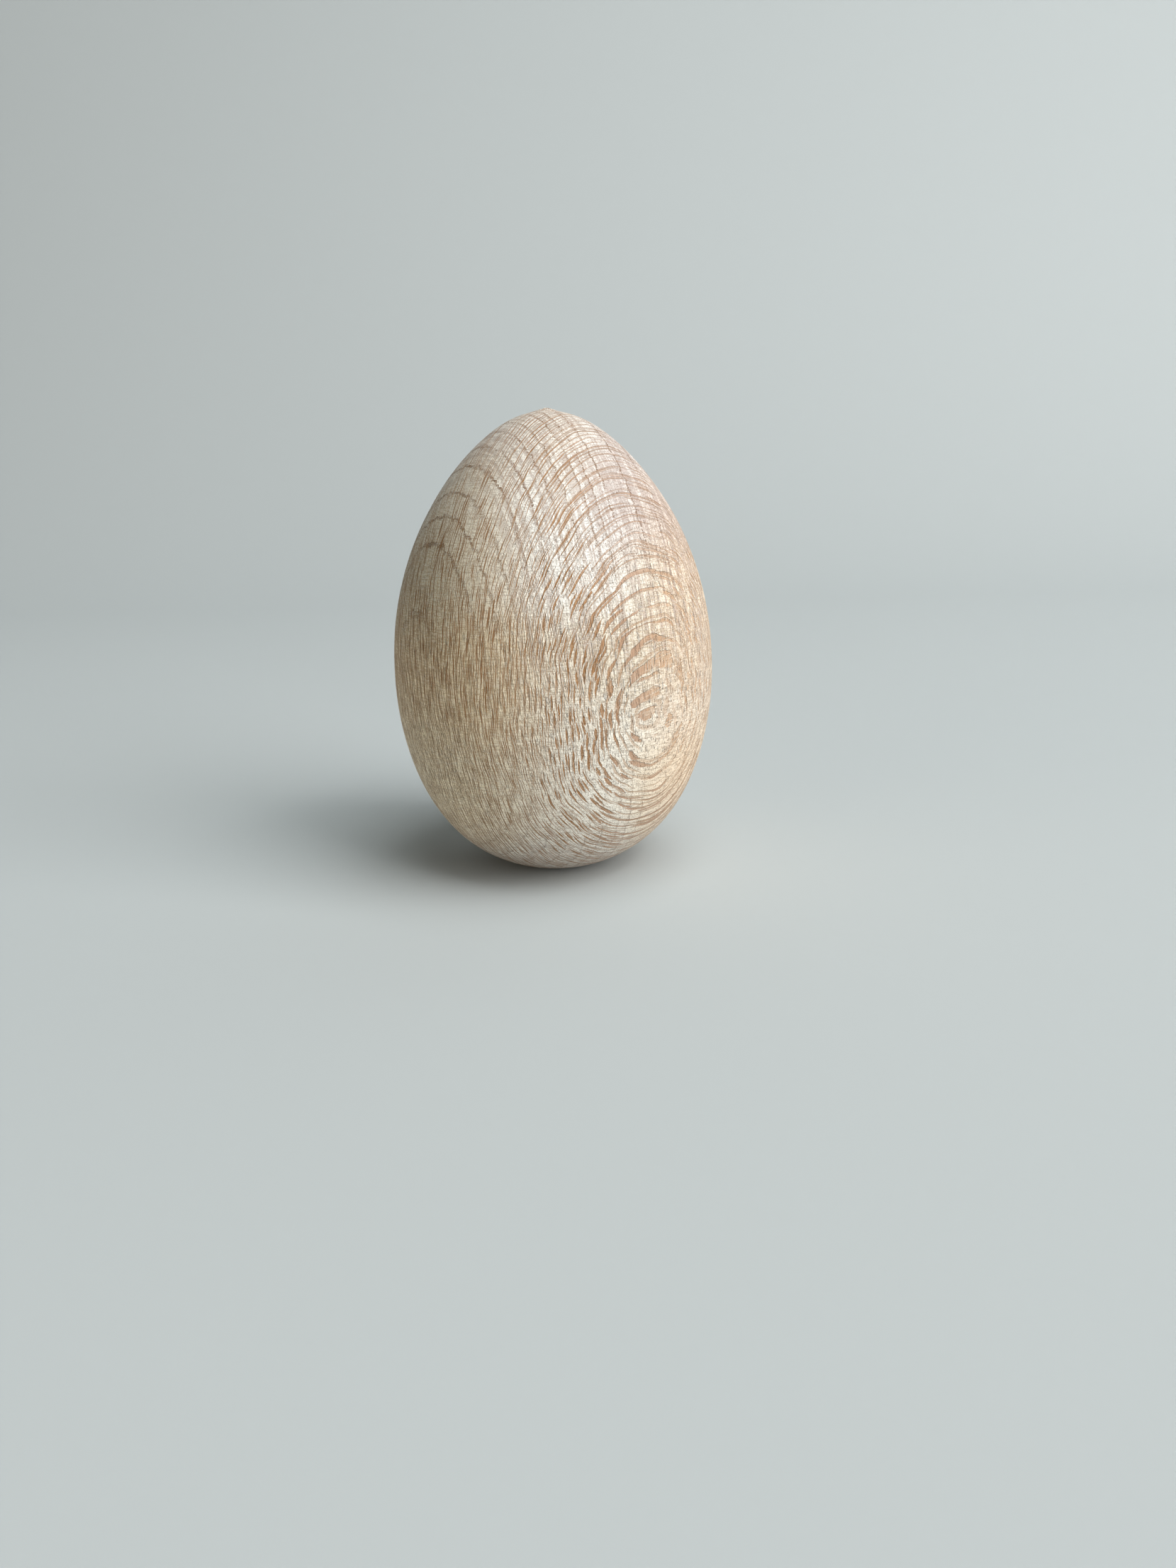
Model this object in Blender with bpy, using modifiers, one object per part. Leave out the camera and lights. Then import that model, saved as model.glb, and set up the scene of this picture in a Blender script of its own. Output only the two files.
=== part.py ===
"""A hen-sized egg turned from one piece of beech. It stands on a small flat on its blunt end.

Units are metres, with +Z up. The origin is the middle of the flat, and the lathe's axis is +Z.
"""

import math

import bpy

# Driving dimensions
BREADTH = 0.0450  # across the widest part
AXIS_LENGTH = 0.0643  # from pole to pole, before the flat is sanded on the blunt end
FLAT_RADIUS = 0.0060  # the flat that the egg stands on
FLAT_EASE = 0.0004  # how far the flat's edge is broken, to each side

# The egg curve is an ellipse whose radius is multiplied by 1 + LEAN * s + POINT * s ** 3,
# where s runs from -1 at the blunt pole to 1 at the tip.
LEAN = -0.096  # moves the widest part below the middle
POINT = -0.109  # draws in the upper end and fills out the lower one

# The lathe's mark on the tip: a low nub where the egg was parted off, in a slightly flattened cone
NUB_HEIGHT = 0.00035
NUB_RADIUS = 0.0012
CONE_DEPTH = 0.00015
CONE_RADIUS = 0.0040

# How finely the turned surface is divided
SEGMENTS = 72
PROFILE_STEPS = 46
TIP_CROWDING = 1.3  # over 1 puts more of the profile's steps near the tip
MERGE_DISTANCE = 0.00001

BEECH_COLOUR = (0.585, 0.445, 0.310, 1.0)
BEECH_ROUGHNESS = 0.62


def swelling(share):
    """The egg curve's radius at this share of the half-length, over the plain ellipse's half-breadth."""
    return math.sqrt(max(0.0, 1.0 - share * share)) * (1.0 + LEAN * share + POINT * share**3)


def widest_swelling():
    """The largest value of swelling, by which every radius is divided so that BREADTH comes out true."""
    return max(swelling(i / 1000.0) for i in range(-1000, 1001))


def curve_radius(angle, widest):
    """The egg's radius at an angle above its equator."""
    return BREADTH / 2.0 * swelling(math.sin(angle)) / widest


def curve_height(angle):
    """The height above the egg's equator plane."""
    return AXIS_LENGTH / 2.0 * math.sin(angle)


def tip_relief(radius):
    """How far the lathe's mark stands above the egg curve near the tip."""
    nub = NUB_HEIGHT * math.exp(-((radius / NUB_RADIUS) ** 2))
    cone = CONE_DEPTH * math.exp(-((radius / CONE_RADIUS) ** 2))
    return nub - cone


def angle_of_radius(radius, widest):
    """The angle below the equator where the blunt end has narrowed to this radius."""
    low, high = -math.pi / 2.0, 0.0
    for _ in range(60):
        middle = (low + high) / 2.0
        if curve_radius(middle, widest) < radius:
            low = middle
        else:
            high = middle
    return low


def egg_profile():
    """The turned outline as (radius, height) points, from the tip down to the middle of the flat."""
    widest = widest_swelling()
    tip_angle = math.pi / 2.0
    edge_angle = angle_of_radius(FLAT_RADIUS + FLAT_EASE, widest)
    flat_height = curve_height(angle_of_radius(FLAT_RADIUS, widest))
    points = []
    for step in range(PROFILE_STEPS + 1):
        share = (step / PROFILE_STEPS) ** TIP_CROWDING
        angle = tip_angle + (edge_angle - tip_angle) * share
        radius = curve_radius(angle, widest) if step else 0.0
        points.append((radius, curve_height(angle) - flat_height + tip_relief(radius)))
    points.append((FLAT_RADIUS - FLAT_EASE, 0.0))
    points.append((0.0, 0.0))
    return points


def beech():
    """Unfinished beech, sanded fine: pale, warm and matt."""
    material = bpy.data.materials.new("raw_beech")
    material.use_nodes = True
    shader = material.node_tree.nodes["Principled BSDF"]
    shader.inputs["Base Color"].default_value = BEECH_COLOUR
    shader.inputs["Roughness"].default_value = BEECH_ROUGHNESS
    shader.inputs["Metallic"].default_value = 0.0
    material.diffuse_color = BEECH_COLOUR
    return material


def turned(name, profile, material, collection):
    """An object turned about the Z axis from (radius, height) points that run from top to bottom."""
    mesh = bpy.data.meshes.new(name)
    vertices = [(radius, 0.0, height) for radius, height in profile]
    edges = [(i, i + 1) for i in range(len(profile) - 1)]
    mesh.from_pydata(vertices, edges, [])
    mesh.materials.append(material)
    body = bpy.data.objects.new(name, mesh)
    collection.objects.link(body)
    lathe = body.modifiers.new("lathe", "SCREW")
    lathe.axis = "Z"
    lathe.angle = 2.0 * math.pi
    lathe.screw_offset = 0.0
    lathe.steps = SEGMENTS
    lathe.render_steps = SEGMENTS
    lathe.use_merge_vertices = True
    lathe.merge_threshold = MERGE_DISTANCE
    lathe.use_smooth_shade = True
    return body


def main():
    for old in list(bpy.data.objects):
        bpy.data.objects.remove(old)
    collection = bpy.data.collections.new("wooden_egg")
    bpy.context.scene.collection.children.link(collection)
    turned("egg", egg_profile(), beech(), collection)


main()
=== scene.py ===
"""The looks of a turned egg of unfinished beech: its fine surface, its wood, the light and the camera.

Units are metres, with +Z up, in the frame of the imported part. Lengths inside the wood's material are
in millimetres, measured from the wood's middle.
"""

import math

import bpy
import numpy as np
from mathutils import Euler, Matrix, Vector, noise


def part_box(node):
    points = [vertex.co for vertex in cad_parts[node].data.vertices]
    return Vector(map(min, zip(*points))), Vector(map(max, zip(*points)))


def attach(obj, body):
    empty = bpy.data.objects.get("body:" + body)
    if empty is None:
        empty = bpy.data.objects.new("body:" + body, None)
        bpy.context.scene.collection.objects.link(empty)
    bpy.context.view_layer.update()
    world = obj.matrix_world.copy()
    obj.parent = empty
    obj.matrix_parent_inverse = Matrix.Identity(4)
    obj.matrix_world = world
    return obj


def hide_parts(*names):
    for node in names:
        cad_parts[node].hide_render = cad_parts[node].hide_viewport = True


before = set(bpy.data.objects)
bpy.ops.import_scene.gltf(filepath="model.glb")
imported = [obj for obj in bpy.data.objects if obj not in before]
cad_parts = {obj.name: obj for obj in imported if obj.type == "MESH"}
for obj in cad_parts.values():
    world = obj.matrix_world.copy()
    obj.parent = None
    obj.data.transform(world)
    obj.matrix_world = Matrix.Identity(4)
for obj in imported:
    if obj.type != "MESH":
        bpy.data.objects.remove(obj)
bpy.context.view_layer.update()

# The turned shape. Its breadth and its height come from the frame, and these repeat the part's curve.
AXIS_LENGTH = 0.0643  # from pole to pole, before the flat
FLAT_RADIUS = 0.0060
FLAT_EASE = 0.0004  # how far the flat's edge is broken, to each side
LEAN = -0.096  # moves the widest part below the middle
POINT = -0.109  # draws in the upper end and fills out the lower one
NUB_HEIGHT = 0.00035
NUB_RADIUS = 0.0012
CONE_DEPTH = 0.00015
CONE_RADIUS = 0.0040

# The fine mesh
AROUND = 288
ALONG = 190
TIP_CROWDING = 1.3  # over 1 puts more of the rows near the tip
CURVE_SAMPLES = 1000  # on each side of the middle, to find the widest part
HALVINGS = 60  # steps of the search for a radius

# Hand sanding and torn fibres, as real relief
SANDING_DEPTH = 0.00006
SANDING_SIZE = 0.0090
TORN_DEPTH = 0.00022
TORN_SIZE = 0.00035

# The lie of the wood. Each lean tilts the grain, first towards +X and then towards +Y, and each
# azimuth is the side of the egg that faces the pith, turned from the front (-Y) towards +X.
WOOD_MIDDLE = (0.0, 0.0, 0.030)
MILLIMETRES = 1000.0  # in a metre
RING_LEAN = (-6.8, 6.8)
RING_AZIMUTH = -51.2
RING_PITH = 69.5  # mm from the middle to the pith
RAY_LEAN = (-10.4, -10.1)
RAY_AZIMUTH = -37.4
RAY_PITH = 79.4
SWAY_SCALE = 0.11  # slow bends in the grain, per mm
NOISE_MIDDLE = (0.5, 0.5, 0.5)  # taken off, so that the bends go both ways

# Growth rings: each edge's distance from the middle, towards the pith, in mm
RING_EDGES = (
    -21.8, -18.4, -15.0, -11.6, -8.0, -4.5, -0.8, 1.1, 2.6,
    4.8, 6.7, 9.1, 11.5, 14.1, 16.1, 18.0, 21.3,
)
EDGE_LEAD = 0.12  # how far ahead of its edge a ring's line starts
FAR_BEHIND = 99.0  # more than any ring's depth

# Rays: the cells of an uneven grid, around the pith and along the grain, and their spindles, in mm
RAY_SHIFT = (0.45, 1.2)  # sets where the broad rays fall
RAY_WAVER = 0.50
RAY_RAGGEDNESS = 0.10
BROAD_CELL = (0.54, 2.4)
BROAD_WIDTHS = (0.055, 0.12)
BROAD_HEIGHTS = (0.8, 1.9)
NARROW_CELL = (0.31, 3.2)
NARROW_WIDTHS = (0.034, 0.068)
NARROW_HEIGHTS = (1.2, 2.4)
SPINDLE_SCATTER = 0.95
SPINDLE_EDGE = (1.12, 0.80)  # shares of a spindle's width, outside and inside its soft edge
SPINDLE_RIM = (2.4, 1.3)
THINNEST_TAPER = 0.001

# Sizes of the other figures in mm, in the order in which the lengths are given to them
WAVER_SIZE = (3.0, 9.0, 3.0)
ROW_SIZE = (0.6, 3.5, 0.24)
NOTCH_SIZE = (9.0, 0.55, 3.0)
FADE_SIZE = (5.0, 5.0, 12.0)
FIBRE_SIZE = (0.17, 0.17, 5.0)
FIBRE_SLANT = 17.0  # shears the fibres' ends, so that they don't line up
SLOW_SIZE = (2.0, 6.0, 26.0)
COLUMN_SIZE = (0.38, 5.0, 14.0)
SPECK_SIZE = (0.14, 0.14, 0.22)
VESSEL_SIZE = (0.24, 0.24, 3.2)
VESSEL_SHARES = (0.16, 0.46)  # of a cell, for the thinnest and the thickest vessel
VESSEL_EXPONENT = 1.6
LATHE_SIZE = (1.2, 1.2, 0.15)
LATHE_REACH = 27.0  # mm of surface for each radian up the side

# Parts of the egg where the tint drifts, painted bounce light low down, a painted sheen high in the middle
# and painted shade high on the left and right among them: an axis, and the mm at which its edge starts and
# is full
# Low down, and low on the left and right: painted bounce light from the floor
LOW_DOWN = (("z", 4.0, -12.0), ("z", -27.0, -15.0))
LOW_LEFT = (("x", -6.0, -15.0),)
LOW_RIGHT = (("x", -2.0, 6.0), ("x", 18.0, 9.0))
LOW_EDGE = (("z", -4.0, -13.0), ("x", 7.0, 13.0))
MIDDLE_LEFT = (("z", -12.0, -3.0),)
# High in the middle: a painted sheen
HIGH_MIDDLE = (("z", 5.0, 12.0), ("z", 29.0, 20.0), ("x", 16.0, 5.0), ("x", -18.0, -8.0))
# High on the left and high on the right: painted shade
HIGH_LEFT = (("z", -2.0, 14.0), ("x", -2.0, -17.0))
HIGH_RIGHT = (("z", 10.0, 20.0), ("x", 2.0, 10.0))
RIGHT = (("x", 9.0, 18.0),)

# The wood's own colours, with the pale of dust and of the painted highlights on raised fibres: linear red,
# green and blue, and opacity
CREAM = (0.880, 0.770, 0.600, 1.0)
GAP_BROWN = (0.660, 0.530, 0.390, 1.0)
GAP_GOLD = (0.570, 0.380, 0.200, 1.0)
LATE_TAN = (0.540, 0.400, 0.270, 1.0)
END_GREY = (0.775, 0.745, 0.715, 1.0)
PITH_GOLD = (0.940, 0.770, 0.520, 1.0)
RING_BROWN = (0.270, 0.170, 0.105, 1.0)
COLUMN_BROWN = (0.380, 0.270, 0.215, 1.0)
PORE_BROWN = (0.200, 0.125, 0.085, 1.0)
PORE_GOLD = (0.340, 0.190, 0.080, 1.0)
# Pale dust, and the painted highlights that raised fibres catch
DUST_AND_GLINT_WHITE = (0.980, 0.930, 0.850, 1.0)
DUST_AND_GLINT_GOLD = (1.000, 0.870, 0.620, 1.0)
RAY_DARK = (0.380, 0.175, 0.055, 1.0)
RAY_BROWN = (0.450, 0.255, 0.130, 1.0)
RAY_LIGHT = (0.500, 0.315, 0.210, 1.0)
PATCH_BROWN = (0.520, 0.290, 0.150, 1.0)
PATCH_ORANGE = (0.610, 0.395, 0.250, 1.0)

# Painted light blended in, each over the part of the egg in its name: painted bounce light from the floor
# low down and a painted sheen high in the middle
PAINTED_BOUNCE_CREAM = (0.985, 0.890, 0.740, 1.0)
PAINTED_BOUNCE_LEFT_GOLD = (1.000, 0.900, 0.700, 1.0)
PAINTED_BOUNCE_RIGHT_CREAM = (1.000, 0.960, 0.870, 1.0)
# A painted sheen
PAINTED_SHEEN_WHITE = (0.940, 0.935, 0.910, 1.0)

# Tints that darken, by which the colour there is multiplied; the high right and high left ones are painted
# shade
RIGHT_TINT = (0.99, 0.92, 0.88, 1.0)
LOW_EDGE_TINT = (0.97, 0.91, 0.83, 1.0)
# Painted shade high on the right
PAINTED_SHADE_HIGH_RIGHT = (0.86, 0.83, 0.86, 1.0)
MIDDLE_LEFT_TINT = (0.97, 0.94, 0.89, 1.0)
# Painted shade high on the left
PAINTED_SHADE_HIGH_LEFT = (0.61, 0.65, 0.68, 1.0)

# The wood's finish
WOOD_SHINE = 0.35
BUMP_STRENGTH = 1.0
BUMP_DEPTH = 0.00030

# The floor, which sweeps up into a pale wall behind the egg
FLOOR_COLOUR = (0.475, 0.503, 0.508, 1.0)
FLOOR_REACH = 3.0
SWEEP_START = 0.26
SWEEP_RADIUS = 0.42
SWEEP_STEPS = 40
WALL_HEIGHT = 1.4

# The lights: degrees from the front and above the floor, breadth and height, watts, and colour
LIGHT_DISTANCE = 1.4
WINDOW = (60.0, 29.0, (1.0, 1.5), 23.2, (1.0, 0.99, 0.97))
SKYLIGHT = (55.0, 70.0, (1.0, 1.0), 12.8, (0.95, 1.0, 1.0))
ROOM = (-55.0, 8.0, (1.0, 1.0), 4.2, (1.0, 0.89, 0.73))
WORLD_COLOUR = (0.9, 1.0, 1.0, 1.0)
WORLD_STRENGTH = 0.04

# The camera, where the photo was taken from
CAMERA_PLACE = (0.0056, -0.1657, 0.0613)
LOOK_DOWN = 16.95
CAMERA_ROLL = 1.265
FOCAL_PIXELS = 1660.0
PHOTO_HEIGHT = 2212.0
SENSOR_HEIGHT = 24.0  # mm
NEAREST = 0.01  # the camera shows nothing closer


class Graph:
    """Short calls that build a material's nodes."""

    def __init__(self, material):
        material.use_nodes = True
        self.tree = material.node_tree
        self.shader = self.tree.nodes["Principled BSDF"]

    def feed(self, socket, value):
        if isinstance(value, bpy.types.NodeSocket):
            self.tree.links.new(value, socket)
        else:
            socket.default_value = value

    def node(self, kind, inputs, **settings):
        node = self.tree.nodes.new(kind)
        for name, value in settings.items():
            setattr(node, name, value)
        for key, value in inputs.items():
            self.feed(node.inputs[key], value)
        return node

    def math(self, operation, *values):
        return self.node("ShaderNodeMath", dict(enumerate(values)), operation=operation).outputs[0]

    def add(self, first, *others):
        for other in others:
            first = self.math("ADD", first, other)
        return first

    def times(self, first, *others):
        for other in others:
            first = self.math("MULTIPLY", first, other)
        return first

    def vector(self, operation, *values):
        return self.node("ShaderNodeVectorMath", dict(enumerate(values)), operation=operation)

    def dot(self, place, axis):
        return self.vector("DOT_PRODUCT", place, tuple(axis)).outputs["Value"]

    def join(self, x, y, z):
        return self.node("ShaderNodeCombineXYZ", {"X": x, "Y": y, "Z": z}).outputs[0]

    def parts(self, place):
        return self.node("ShaderNodeSeparateXYZ", {"Vector": place}).outputs

    def chances(self, cells):
        """Three random numbers from 0 to 1 for each cell."""
        return self.node("ShaderNodeSeparateColor", {"Color": cells.outputs["Color"]}).outputs

    def noise(self, place, scale=1.0, detail=2.0):
        inputs = {"Vector": place, "Scale": scale, "Detail": detail, "Roughness": 0.5}
        return self.node("ShaderNodeTexNoise", inputs)

    def cells(self, place, exponent=2.0, dimensions="3D", randomness=1.0):
        settings = {"distance": "MINKOWSKI", "voronoi_dimensions": dimensions}
        inputs = {"Vector": place, "Scale": 1.0, "Exponent": exponent, "Randomness": randomness}
        return self.node("ShaderNodeTexVoronoi", inputs, **settings)

    def ramp(self, value, low, high, to_low=0.0, to_high=1.0, smooth=True):
        """Goes from to_low to to_high while the value goes from low to high, and stays level outside."""
        kind = "SMOOTHSTEP" if smooth else "LINEAR"
        inputs = {"Value": value, "From Min": low, "From Max": high, "To Min": to_low, "To Max": to_high}
        return self.node("ShaderNodeMapRange", inputs, interpolation_type=kind).outputs[0]

    def between(self, share, to_low, to_high):
        """Goes from to_low to to_high while a share goes from 0 to 1."""
        return self.ramp(share, 0.0, 1.0, to_low, to_high)

    def blend(self, share, first, second, way="MIX"):
        node = self.tree.nodes.new("ShaderNodeMix")
        node.data_type = "RGBA"
        node.blend_type = way
        self.feed(node.inputs["Factor"], share)
        self.feed(node.inputs["A"], first)
        self.feed(node.inputs["B"], second)
        return node.outputs["Result"]

    def scaled(self, sizes, *lengths):
        """A texture place whose cells have these sizes in mm."""
        return self.join(*(self.math("DIVIDE", length, size) for length, size in zip(lengths, sizes)))

    def streaks(self, sizes, *lengths, detail=1.0):
        """Noise whose streaks have about these sizes in mm."""
        return self.noise(self.scaled(sizes, *lengths), detail=detail).outputs["Fac"]


class Beech(Graph):
    """Steamed beech as a solid material: growth rings, rays, fibres and pores, cut by any surface, with
    painted bounce light, sheen, shade and highlights over parts of it.

    Each step keeps what the later ones need, which are lengths in mm, and masks from 0 to 1.
    """

    def __init__(self, material):
        super().__init__(material)
        self.ring_axes = wood_axes(RING_LEAN, RING_AZIMUTH)
        self.ray_axes = wood_axes(RAY_LEAN, RAY_AZIMUTH)
        surface = self.node("ShaderNodeTexCoord", {}).outputs
        self.find_faces(surface["Normal"])
        self.find_place(surface["Object"])
        self.find_rays()
        self.find_rings()
        self.find_fibres()
        self.find_vessels()
        self.find_regions()
        colour = self.add_marks(self.ground())
        colour = self.add_lathe_marks(self.add_columns(colour))
        colour = self.add_tints(self.add_narrow_rays(colour))
        colour = self.add_broad_rays(self.add_rims(colour))
        self.feed(self.shader.inputs["Base Color"], colour)
        self.feed(self.shader.inputs["Roughness"], self.ramp(self.fibres, 0.3, 0.7, 0.72, 0.56))
        self.shader.inputs["Specular IOR Level"].default_value = WOOD_SHINE
        self.add_bump()

    def find_faces(self, normal):
        """How squarely the surface cuts across the grain, lies along the rays' sheets or faces the pith."""
        self.end_face = self.math("ABSOLUTE", self.dot(normal, self.ring_axes[0]))
        self.radial_face = self.math("ABSOLUTE", self.dot(normal, self.ray_axes[2]))
        self.pith_face = self.math("ABSOLUTE", self.dot(normal, self.ring_axes[1]))
        self.end_side = self.ramp(self.end_face, 0.12, 0.60)
        self.pith_side = self.ramp(self.pith_face, 0.55, 0.95)
        self.side_on = self.ramp(self.radial_face, 0.90, 0.99)

    def around_pith(self, place, axes, pith):
        """Distances in mm towards the pith and around it, from the wood's middle."""
        _, inward, across = axes
        ahead = self.math("SUBTRACT", pith, self.dot(place, inward))
        aside = self.dot(place, across)
        squares = self.add(self.times(ahead, ahead), self.times(aside, aside))
        towards = self.math("SUBTRACT", pith, self.math("SQRT", squares))
        around = self.times(self.math("ARCTAN2", aside, ahead), pith)
        return towards, around

    def find_place(self, spot):
        """The place in the wood, in mm: x, y and z, and towards the pith, around it and along the grain."""
        place = self.vector("SUBTRACT", spot, WOOD_MIDDLE).outputs[0]
        place = self.vector("SCALE", place).outputs[0]
        place.node.inputs["Scale"].default_value = MILLIMETRES
        self.x, self.y, self.z = self.parts(place)
        sway = self.noise(place, scale=SWAY_SCALE).outputs["Color"]
        sway = self.vector("SUBTRACT", sway, NOISE_MIDDLE).outputs[0]
        place = self.vector("ADD", place, sway).outputs[0]
        self.towards, self.around = self.around_pith(place, self.ring_axes, RING_PITH)
        self.along = self.dot(place, self.ring_axes[0])
        _, self.ray_around = self.around_pith(place, self.ray_axes, RAY_PITH)
        self.ray_along = self.dot(place, self.ray_axes[0])

    def spindles(self, across, along, cell, widths, heights, swell):
        """Lens-shaped spots, one in each cell of an uneven grid: their masks, rims and chances."""
        place = self.join(self.math("DIVIDE", across, cell[0]), self.math("DIVIDE", along, cell[1]), 0.0)
        cells = self.cells(place, dimensions="2D", randomness=SPINDLE_SCATTER)
        offset = self.vector("SUBTRACT", place, cells.outputs["Position"]).outputs[0]
        aside, above, _ = self.parts(self.vector("ABSOLUTE", offset).outputs[0])
        chance = self.chances(cells)
        width = self.times(self.ramp(chance[0], 0.0, 1.0, *widths, smooth=False), swell)
        height = self.ramp(chance[1], 0.0, 1.0, *heights, smooth=False)
        end = self.math("DIVIDE", self.times(above, cell[1]), height)
        taper = self.math("MAXIMUM", self.math("SUBTRACT", 1.0, self.times(end, end)), THINNEST_TAPER)
        side = self.math("DIVIDE", self.times(aside, cell[0]), self.times(width, taper))
        return self.ramp(side, *SPINDLE_EDGE), self.ramp(side, *SPINDLE_RIM), chance[2]

    def find_rays(self):
        """Rays: sheets of any depth towards the pith, each a spindle on the side that faces it."""
        lengths = (self.ray_around, self.towards, self.ray_along)
        waver = self.streaks(WAVER_SIZE, *lengths)
        self.rows = self.streaks(ROW_SIZE, *lengths)
        smooth = self.add(self.ray_around, self.times(waver, RAY_WAVER))
        ragged = self.add(smooth, self.times(self.rows, RAY_RAGGEDNESS), RAY_SHIFT[0])
        along = self.add(self.ray_along, RAY_SHIFT[1])
        slim = self.ramp(self.pith_face, 0.48, 0.80, 1.0, 0.5)
        slim = self.times(slim, self.ramp(self.z, 8.0, 18.0, 1.0, 0.8))
        broad = self.spindles(ragged, along, BROAD_CELL, BROAD_WIDTHS, BROAD_HEIGHTS, slim)
        self.ray, self.ray_rim, self.ray_chance = broad
        swell = self.ramp(self.pith_face, 0.65, 0.97, 1.0, 1.4)
        narrow = self.spindles(smooth, along, NARROW_CELL, NARROW_WIDTHS, NARROW_HEIGHTS, swell)
        kept = self.math("GREATER_THAN", narrow[2], self.ramp(self.z, 0.0, 12.0, 0.0, 0.35))
        self.narrow_ray = self.times(narrow[0], kept)
        self.narrow_rim = self.times(narrow[1], kept)

    def find_rings(self):
        """Growth rings: a thin dark edge to each year's wood, stepped where rays cross it."""
        lengths = (self.towards, self.around, self.along)
        notch = self.times(self.math("SUBTRACT", self.streaks(NOTCH_SIZE, *lengths), 0.5), 0.5)
        notched = self.add(self.towards, notch, self.times(self.ray_chance, 0.25))
        behind = FAR_BEHIND
        for edge in RING_EDGES:
            past = self.math("SUBTRACT", notched, edge)
            before = self.math("LESS_THAN", past, -EDGE_LEAD)
            behind = self.math("MINIMUM", behind, self.add(past, self.times(before, FAR_BEHIND)))
        self.behind = behind
        fade = self.ramp(self.streaks(FADE_SIZE, *lengths), 0.30, 0.60)
        self.ring_line = self.times(self.ramp(behind, 0.20, 0.05), self.between(fade, 0.5, 1.0))
        late = self.times(self.ramp(behind, 1.8, 0.0), self.between(fade, 0.4, 1.0))
        self.late = self.times(late, self.ramp(self.radial_face, 0.80, 0.97, 1.0, 0.4))

    def find_fibres(self):
        """Fine streaks along the grain, slow bands and dark columns, and the sanded surface's specks."""
        lengths = (self.towards, self.around, self.along)
        slant = self.add(self.along, self.times(self.add(self.towards, self.around), FIBRE_SLANT))
        self.fibres = self.streaks(FIBRE_SIZE, self.towards, self.around, slant)
        self.slow = self.streaks(SLOW_SIZE, *lengths, detail=2.0)
        self.columns = self.streaks(COLUMN_SIZE, *lengths, detail=0.0)
        self.specks = self.streaks(SPECK_SIZE, *lengths, detail=0.0)

    def find_vessels(self):
        """Vessels, which are dark dashes, or pale dashes painted as the highlights of raised fibres, along
        the grain and dots across it, and lathe marks.
        """
        place = self.scaled(VESSEL_SIZE, self.towards, self.around, self.along)
        cells = self.cells(place, exponent=VESSEL_EXPONENT)
        chance = self.chances(cells)
        size = self.ramp(chance[0], 0.0, 1.0, *VESSEL_SHARES, smooth=False)
        vessel = self.ramp(self.math("DIVIDE", cells.outputs["Distance"], size), 1.15, 0.65)
        # Pale vessels are painted highlights on raised fibres, more of them low down
        pale = self.math("SUBTRACT", chance[1], self.ramp(self.z, -4.0, 14.0, 0.0, 0.35))
        self.glinting_vessel = self.times(vessel, self.ramp(pale, 0.45, 0.55))
        off_axis = self.math("SQRT", self.add(self.times(self.x, self.x), self.times(self.y, self.y)))
        up_the_side = self.times(self.math("ARCTAN2", self.z, off_axis), LATHE_REACH)
        self.lathe = self.streaks(LATHE_SIZE, self.x, self.y, up_the_side, detail=0.0)
        dark_vessel = self.math("SUBTRACT", vessel, self.glinting_vessel)
        self.dark_vessel = self.times(dark_vessel, self.ramp(self.lathe, 0.42, 0.54))

    def region(self, limits, share=1.0):
        """A part of the egg with soft edges, within a share that it starts from."""
        for axis, start, full in limits:
            share = self.times(share, self.ramp(getattr(self, axis), start, full))
        return share

    def find_regions(self):
        """The parts of the egg where the tint drifts and light and shade are painted, and the colours of
        what is cut open, the pale one also the colour of painted highlights.
        """
        self.low_down = self.region(LOW_DOWN)
        self.low_left = self.region(LOW_LEFT, self.low_down)
        self.low_right = self.region(LOW_RIGHT, self.low_down)
        self.high_middle = self.region(HIGH_MIDDLE)
        self.high_right = self.region(HIGH_RIGHT)
        self.dark_cut = self.blend(self.pith_side, PORE_BROWN, PORE_GOLD)
        self.pale_cut = self.blend(self.pith_side, DUST_AND_GLINT_WHITE, DUST_AND_GLINT_GOLD)

    def ground(self):
        """The wood between its marks: cream, with darker gaps and late wood, its slow tints, painted bounce
        light low down and a painted sheen high in the middle.
        """
        gap = self.blend(self.pith_side, GAP_BROWN, GAP_GOLD)
        even = self.math("MAXIMUM", self.ramp(self.fibres, 0.38, 0.56), self.times(self.pith_side, 0.65))
        colour = self.blend(even, gap, CREAM)
        colour = self.blend(self.ramp(self.slow, 0.3, 0.7, 0.0, 0.12), colour, gap)
        colour = self.blend(self.times(self.late, self.between(self.end_side, 0.22, 0.60)), colour, LATE_TAN)
        colour = self.blend(self.times(self.end_side, 0.65), colour, END_GREY)
        # Painted bounce light from the floor: lighter low down
        colour = self.blend(self.times(self.low_down, 0.88), colour, PAINTED_BOUNCE_CREAM)
        # Painted sheen on the upper middle
        colour = self.blend(self.times(self.high_middle, 0.70), colour, PAINTED_SHEEN_WHITE)
        # More painted bounce light low on the right and low on the left
        colour = self.blend(self.times(self.low_right, 0.55), colour, PAINTED_BOUNCE_RIGHT_CREAM)
        colour = self.blend(self.times(self.low_left, 0.90), colour, PAINTED_BOUNCE_LEFT_GOLD)
        return self.blend(self.times(self.pith_side, 0.55), colour, PITH_GOLD)

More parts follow.
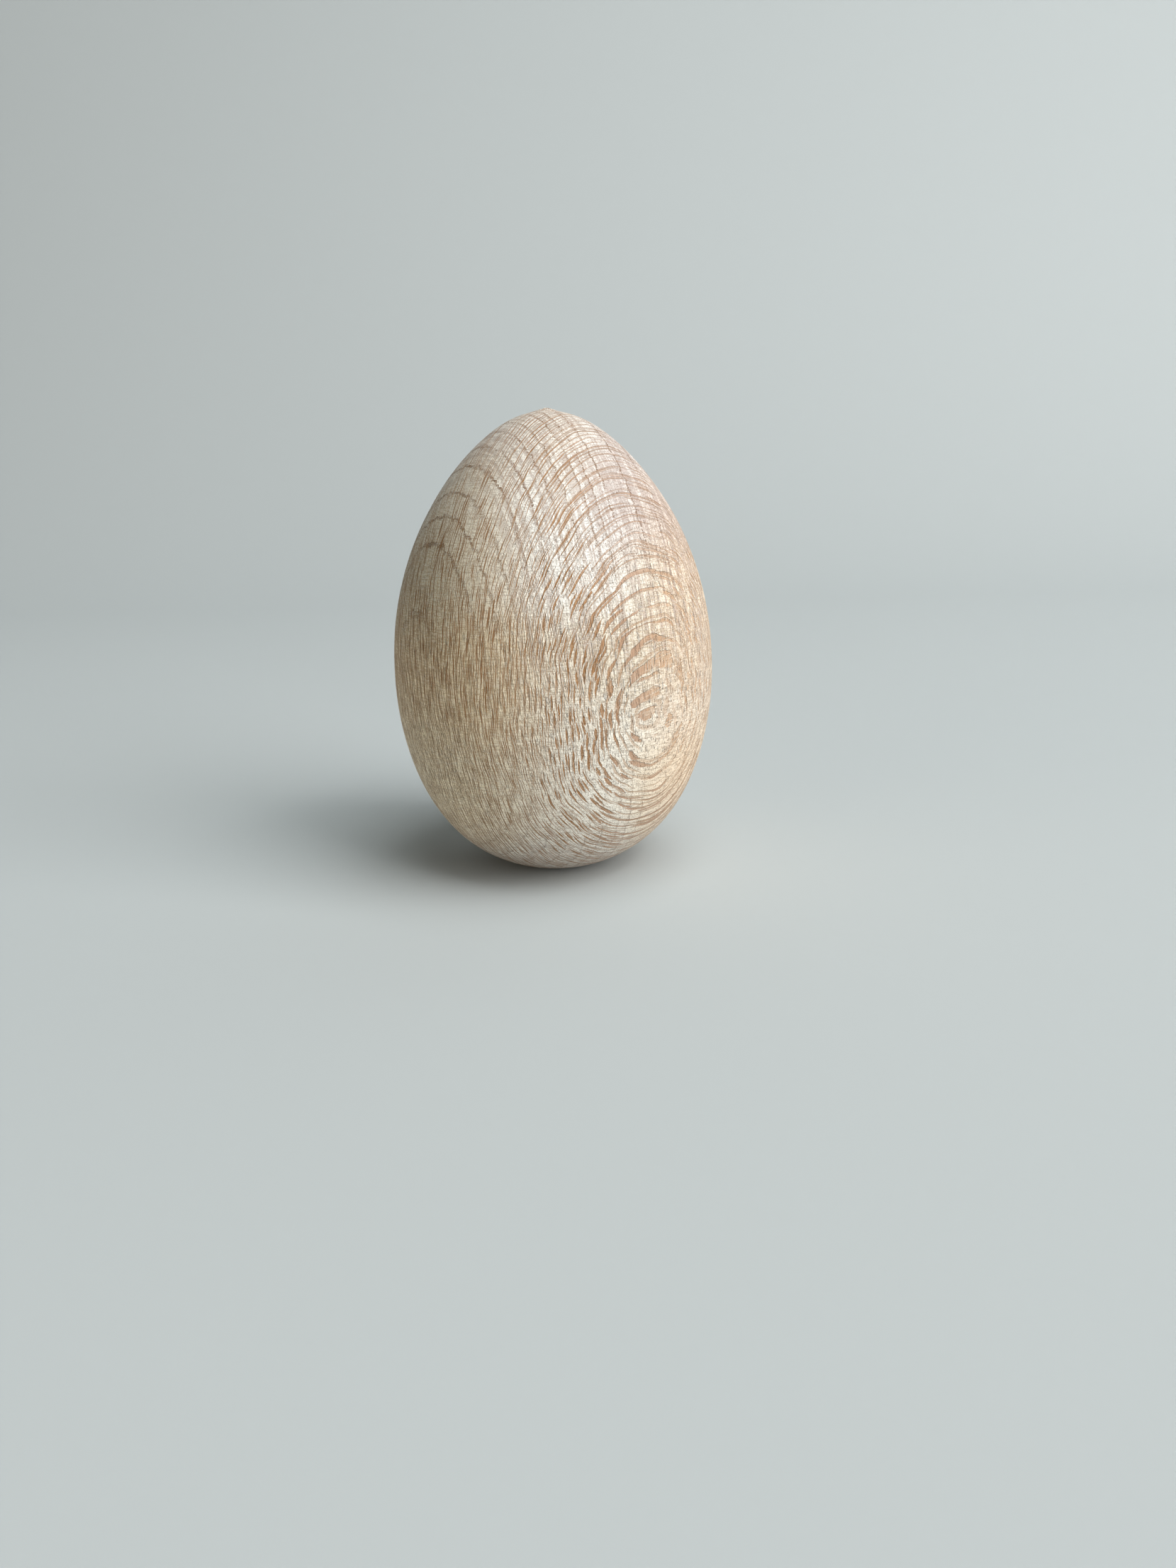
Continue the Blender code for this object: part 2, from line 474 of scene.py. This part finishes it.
    def add_marks(self, colour):
        """Ring lines, dark vessels, specks and pale vessels, which are painted highlights on raised fibres.
        """
        ring_show = self.times(
            self.ring_line,
            self.ramp(self.end_face, 0.1, 0.6, 0.45, 1.00),
            self.ramp(self.z, -5.0, 10.0, 0.35, 1.0),
            self.ramp(self.specks, 0.32, 0.52, 0.65, 1.2),
        )
        colour = self.blend(ring_show, colour, RING_BROWN)
        dark_show = self.ramp(self.behind, 1.3, 0.3, 0.45, 0.95)
        dark_show = self.times(dark_show, self.between(self.pith_side, 1.0, 0.55))
        colour = self.blend(self.times(self.dark_vessel, dark_show), colour, self.dark_cut)
        colour = self.blend(self.ramp(self.specks, 0.56, 0.66, 0.0, 0.40), colour, self.dark_cut)
        colour = self.blend(self.ramp(self.specks, 0.44, 0.34, 0.0, 0.45), colour, self.pale_cut)
        # Painted highlights along the pale vessels
        glint_show = self.between(self.end_side, 0.65, 0.20)
        glint_show = self.times(glint_show, self.between(self.pith_side, 1.0, 1.3))
        return self.blend(self.times(self.glinting_vessel, glint_show), colour, self.pale_cut)

    def add_columns(self, colour):
        """Dark columns along the grain in the upper half, broken by the lathe marks."""
        column_show = self.times(
            self.ramp(self.columns, 0.48, 0.60),
            self.ramp(self.z, -6.0, 8.0, 0.0, 0.75),
            self.ramp(self.lathe, 0.42, 0.54, 0.15, 1.0),
            self.ramp(self.pith_face, 0.85, 0.65),
        )
        return self.blend(column_show, colour, COLUMN_BROWN)

    def add_lathe_marks(self, colour):
        """Fine rings about the turned axis, pale with dust or dark."""
        lathe_show = self.ramp(self.radial_face, 0.4, 0.95, 0.28, 0.32)
        colour = self.blend(self.times(self.ramp(self.lathe, 0.52, 0.66), lathe_show), colour, DUST_AND_GLINT_WHITE)
        return self.blend(self.times(self.ramp(self.lathe, 0.48, 0.34), lathe_show), colour, self.dark_cut)

    def add_narrow_rays(self, colour):
        """Narrow rays, which are clearest on the side that faces the pith."""
        self.narrow_show = self.times(
            self.ramp(self.pith_face, 0.50, 0.85, 0.62, 1.00),
            # Fewer narrow rays low on the left and low down, under the painted bounce light
            self.between(self.low_left, 1.0, 0.65),
            self.between(self.low_down, 1.0, 0.85),
            self.ramp(self.radial_face, 0.85, 0.99, 1.0, 0.5),
        )
        ray_colour = self.blend(self.pith_side, RAY_BROWN, RAY_DARK)
        return self.blend(self.times(self.narrow_ray, self.narrow_show), colour, ray_colour)

    def add_tints(self, colour):
        """The slow tints that darken, painted shade high on the right and left among them."""
        colour = self.blend(self.region(RIGHT), colour, RIGHT_TINT, "MULTIPLY")
        colour = self.blend(self.region(LOW_EDGE), colour, LOW_EDGE_TINT, "MULTIPLY")
        # Painted shade high on the right
        colour = self.blend(self.high_right, colour, PAINTED_SHADE_HIGH_RIGHT, "MULTIPLY")
        colour = self.blend(self.region(MIDDLE_LEFT, self.pith_side), colour, MIDDLE_LEFT_TINT, "MULTIPLY")
        # Painted shade high on the left
        return self.blend(self.region(HIGH_LEFT), colour, PAINTED_SHADE_HIGH_LEFT, "MULTIPLY")

    def add_rims(self, colour):
        """Pale rims beside the rays."""
        beside = self.math("SUBTRACT", self.ray_rim, self.ray)
        rim = self.times(
            self.math("MAXIMUM", beside, self.times(self.narrow_rim, self.narrow_show)),
            self.ramp(self.pith_face, 0.25, 0.50, 0.0, 0.35),
            self.ramp(self.pith_face, 0.65, 0.90, 1.0, 0.5),
            self.math("SUBTRACT", 1.0, self.narrow_ray),
        )
        return self.blend(rim, colour, self.pale_cut)

    def add_broad_rays(self, colour):
        """Broad rays: dark spindles that open into orange patches, in rows, where they lie side on."""
        ray_colour = self.blend(self.ramp(self.rows, 0.35, 0.65), RAY_DARK, RAY_BROWN)
        ray_colour = self.blend(self.ramp(self.pith_face, 0.45, 0.15), ray_colour, RAY_LIGHT)
        patch = self.blend(self.ramp(self.rows, 0.42, 0.60), PATCH_BROWN, PATCH_ORANGE)
        ray_colour = self.blend(self.side_on, ray_colour, patch)
        thin_rows = self.ramp(self.rows, 0.52, 0.40, 0.0, 0.85)
        thin_fibres = self.ramp(self.fibres, 0.48, 0.62, 0.0, 0.60)
        thin = self.times(self.side_on, self.math("MAXIMUM", thin_rows, thin_fibres))
        cover = self.times(
            self.ray,
            self.ramp(self.fibres, 0.66, 0.54, 0.75, 0.95),
            self.math("SUBTRACT", 1.0, thin),
            self.between(self.high_right, 1.0, 0.5),
        )
        return self.blend(cover, colour, ray_colour)

    def add_bump(self):
        """Raised fibres and raised pale vessels, which carry painted highlights, open vessels and sunken
        rays, all flatter under the painted sheen.
        """
        height = self.times(self.fibres, self.between(self.pith_side, 0.7, 0.3))
        height = self.add(height, self.times(self.glinting_vessel, 0.9))
        height = self.math("SUBTRACT", height, self.times(self.dark_vessel, 0.4))
        height = self.times(height, self.between(self.end_side, 1.0, 0.2))
        height = self.math("SUBTRACT", height, self.times(self.ray, 0.4))
        narrow_depth = self.ramp(self.radial_face, 0.7, 0.95, 0.6, 0.1)
        height = self.math("SUBTRACT", height, self.times(self.narrow_ray, narrow_depth))
        height = self.add(height, self.times(self.lathe, 0.10))
        # Flatter bump under the painted sheen
        height = self.times(height, self.between(self.high_middle, 1.0, 0.7))
        inputs = {"Height": height, "Strength": BUMP_STRENGTH, "Distance": BUMP_DEPTH}
        self.feed(self.shader.inputs["Normal"], self.node("ShaderNodeBump", inputs).outputs[0])


def wood_axes(lean, azimuth):
    """Unit vectors along the grain, towards the pith, and across both."""
    tilt_x, tilt_y = (math.sin(math.radians(angle)) for angle in lean)
    grain = Vector((tilt_x, tilt_y, 1.0)).normalized()
    side = math.radians(azimuth)
    inward = Vector((math.sin(side), -math.cos(side), 0.0))
    inward = (inward - grain * inward.dot(grain)).normalized()
    return grain, inward, grain.cross(inward)


def swelling(share):
    """The egg curve's radius at this share of the half-length, over the plain ellipse's half-breadth."""
    return math.sqrt(max(0.0, 1.0 - share * share)) * (1.0 + LEAN * share + POINT * share**3)


def egg_profile(breadth):
    """The turned outline as (radius, height) points, from the tip to the edge of the flat."""
    steps = range(-CURVE_SAMPLES, CURVE_SAMPLES + 1)
    widest = max(swelling(i / CURVE_SAMPLES) for i in steps)

    def radius_at(angle):
        return breadth / 2.0 * swelling(math.sin(angle)) / widest

    def angle_at(radius):
        low, high = -math.pi / 2.0, 0.0
        for _ in range(HALVINGS):
            middle = (low + high) / 2.0
            if radius_at(middle) < radius:
                low = middle
            else:
                high = middle
        return low

    tip_angle = math.pi / 2.0
    edge_angle = angle_at(FLAT_RADIUS + FLAT_EASE)
    flat_height = AXIS_LENGTH / 2.0 * math.sin(angle_at(FLAT_RADIUS))
    points = []
    for step in range(1, ALONG + 1):
        angle = tip_angle + (edge_angle - tip_angle) * (step / ALONG) ** TIP_CROWDING
        radius = radius_at(angle)
        nub = NUB_HEIGHT * math.exp(-((radius / NUB_RADIUS) ** 2))
        cone = CONE_DEPTH * math.exp(-((radius / CONE_RADIUS) ** 2))
        points.append((radius, AXIS_LENGTH / 2.0 * math.sin(angle) - flat_height + nub - cone))
    return points


def relief(place):
    """How far hand sanding and torn fibres move the surface out at a place, in metres."""
    facets = noise.noise(place / SANDING_SIZE) * SANDING_DEPTH
    off_axis = math.hypot(place.x, place.y)
    near_tip = math.exp(-((off_axis / NUB_RADIUS) ** 2)) if place.z > AXIS_LENGTH / 2.0 else 0.0
    torn = noise.noise(place / TORN_SIZE) * TORN_DEPTH * near_tip
    return facets + torn - SANDING_DEPTH / 2.0


def turned_point(radius, turn, height):
    """A point about the turned axis."""
    return Vector((radius * math.cos(turn), radius * math.sin(turn), height))


def roughened(radius, turn, height):
    """A point of the turned side, moved out by its relief."""
    place = turned_point(radius, turn, height)
    outward = turned_point(1.0, turn, (height - WOOD_MIDDLE[2]) / AXIS_LENGTH)
    return place + outward.normalized() * relief(place)


def egg_faces(rows, foot):
    """Faces between the tip, the rows of points and the middle of the foot, which has the last number."""
    faces = []
    last = 1 + (rows - 1) * AROUND
    for step in range(AROUND):
        beside = (step + 1) % AROUND
        faces.append((0, 1 + step, 1 + beside))
        for row in range(rows - 1):
            above = 1 + row * AROUND
            below = above + AROUND
            faces.append((above + step, below + step, below + beside, above + beside))
        faces.append((last + step, foot, last + beside))
    return faces


def linked(name, vertices, faces):
    """A smooth object of these points and faces, in the scene."""
    mesh = bpy.data.meshes.new(name)
    mesh.from_pydata(vertices, [], faces)
    mesh.validate()
    mesh.shade_smooth()
    body = bpy.data.objects.new(name, mesh)
    bpy.context.scene.collection.objects.link(body)
    return body


def egg_mesh(name):
    """The egg as a fine closed mesh, with its relief."""
    low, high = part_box("egg")
    profile = egg_profile(high.x - low.x)
    foot_radii = (FLAT_RADIUS - FLAT_EASE, FLAT_RADIUS * 0.5)
    turns = [2.0 * math.pi * step / AROUND for step in range(AROUND)]
    vertices = [Vector((0.0, 0.0, high.z))]
    for radius, height in profile:
        vertices += [roughened(radius, turn, height) for turn in turns]
    for radius in foot_radii:
        vertices += [turned_point(radius, turn, 0.0) for turn in turns]
    vertices.append(Vector((0.0, 0.0, 0.0)))
    return linked(name, vertices, egg_faces(len(profile) + len(foot_radii), len(vertices) - 1))


def beech_material():
    """The egg's wood."""
    material = bpy.data.materials.new("raw_beech")
    Beech(material)
    return material


def floor_material():
    """A plain pale matt surface."""
    material = bpy.data.materials.new("pale_floor")
    shader = Graph(material).shader
    shader.inputs["Base Color"].default_value = FLOOR_COLOUR
    shader.inputs["Roughness"].default_value = 1.0
    shader.inputs["Specular IOR Level"].default_value = 0.0
    return material


def add_floor():
    """A level floor that sweeps up into a wall behind the egg, so that no edge shows."""
    outline = [(-FLOOR_REACH, 0.0), (SWEEP_START, 0.0)]
    for step in range(1, SWEEP_STEPS + 1):
        turn = math.pi / 2.0 * step / SWEEP_STEPS
        outline.append((SWEEP_START + SWEEP_RADIUS * math.sin(turn), SWEEP_RADIUS * (1.0 - math.cos(turn))))
    outline.append((SWEEP_START + SWEEP_RADIUS, WALL_HEIGHT))
    vertices = [(side * FLOOR_REACH, y, z) for side in (-1.0, 1.0) for y, z in outline]
    count = len(outline)
    faces = [(i, count + i, count + i + 1, i + 1) for i in range(count - 1)]
    floor = linked("floor", vertices, faces)
    floor.data.materials.append(floor_material())


def add_light(name, side, height, size, watts, colour):
    """A soft rectangular light that faces the middle of the egg."""
    lamp = bpy.data.lights.new(name, "AREA")
    lamp.shape = "RECTANGLE"
    lamp.size, lamp.size_y = size
    lamp.energy = watts
    lamp.color = colour
    light = bpy.data.objects.new(name, lamp)
    turn, rise = math.radians(side), math.radians(height)
    out = Vector((math.sin(turn) * math.cos(rise), -math.cos(turn) * math.cos(rise), math.sin(rise)))
    light.location = Vector(WOOD_MIDDLE) + out * LIGHT_DISTANCE
    light.rotation_euler = out.to_track_quat("Z", "Y").to_euler()
    bpy.context.scene.collection.objects.link(light)


def add_lights():
    """A tall window and the sky on the right, a warm room on the left, and dim light all round."""
    add_light("window", *WINDOW)
    add_light("skylight", *SKYLIGHT)
    add_light("room", *ROOM)
    world = bpy.data.worlds.new("dim_room")
    world.use_nodes = True
    world.node_tree.nodes["Background"].inputs["Color"].default_value = WORLD_COLOUR
    world.node_tree.nodes["Background"].inputs["Strength"].default_value = WORLD_STRENGTH
    bpy.context.scene.world = world
    bpy.context.scene.view_settings.view_transform = "Standard"


def add_camera():
    """A phone's main camera, which looks a little down on the egg and is rolled slightly."""
    lens = bpy.data.cameras.new("camera")
    lens.sensor_fit = "VERTICAL"
    lens.sensor_height = SENSOR_HEIGHT
    lens.lens = SENSOR_HEIGHT * FOCAL_PIXELS / PHOTO_HEIGHT
    lens.clip_start = NEAREST
    camera = bpy.data.objects.new("camera", lens)
    look = Euler((math.radians(90.0 - LOOK_DOWN), 0.0, 0.0)).to_matrix()
    roll = Matrix.Rotation(math.radians(CAMERA_ROLL), 3, "Y")
    camera.rotation_euler = (roll @ look).to_euler()
    camera.location = CAMERA_PLACE
    bpy.context.scene.collection.objects.link(camera)
    bpy.context.scene.camera = camera


add_camera()
egg = egg_mesh("egg_surface")
egg.data.materials.append(beech_material())
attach(egg, "root")
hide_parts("egg")
add_floor()
add_lights()
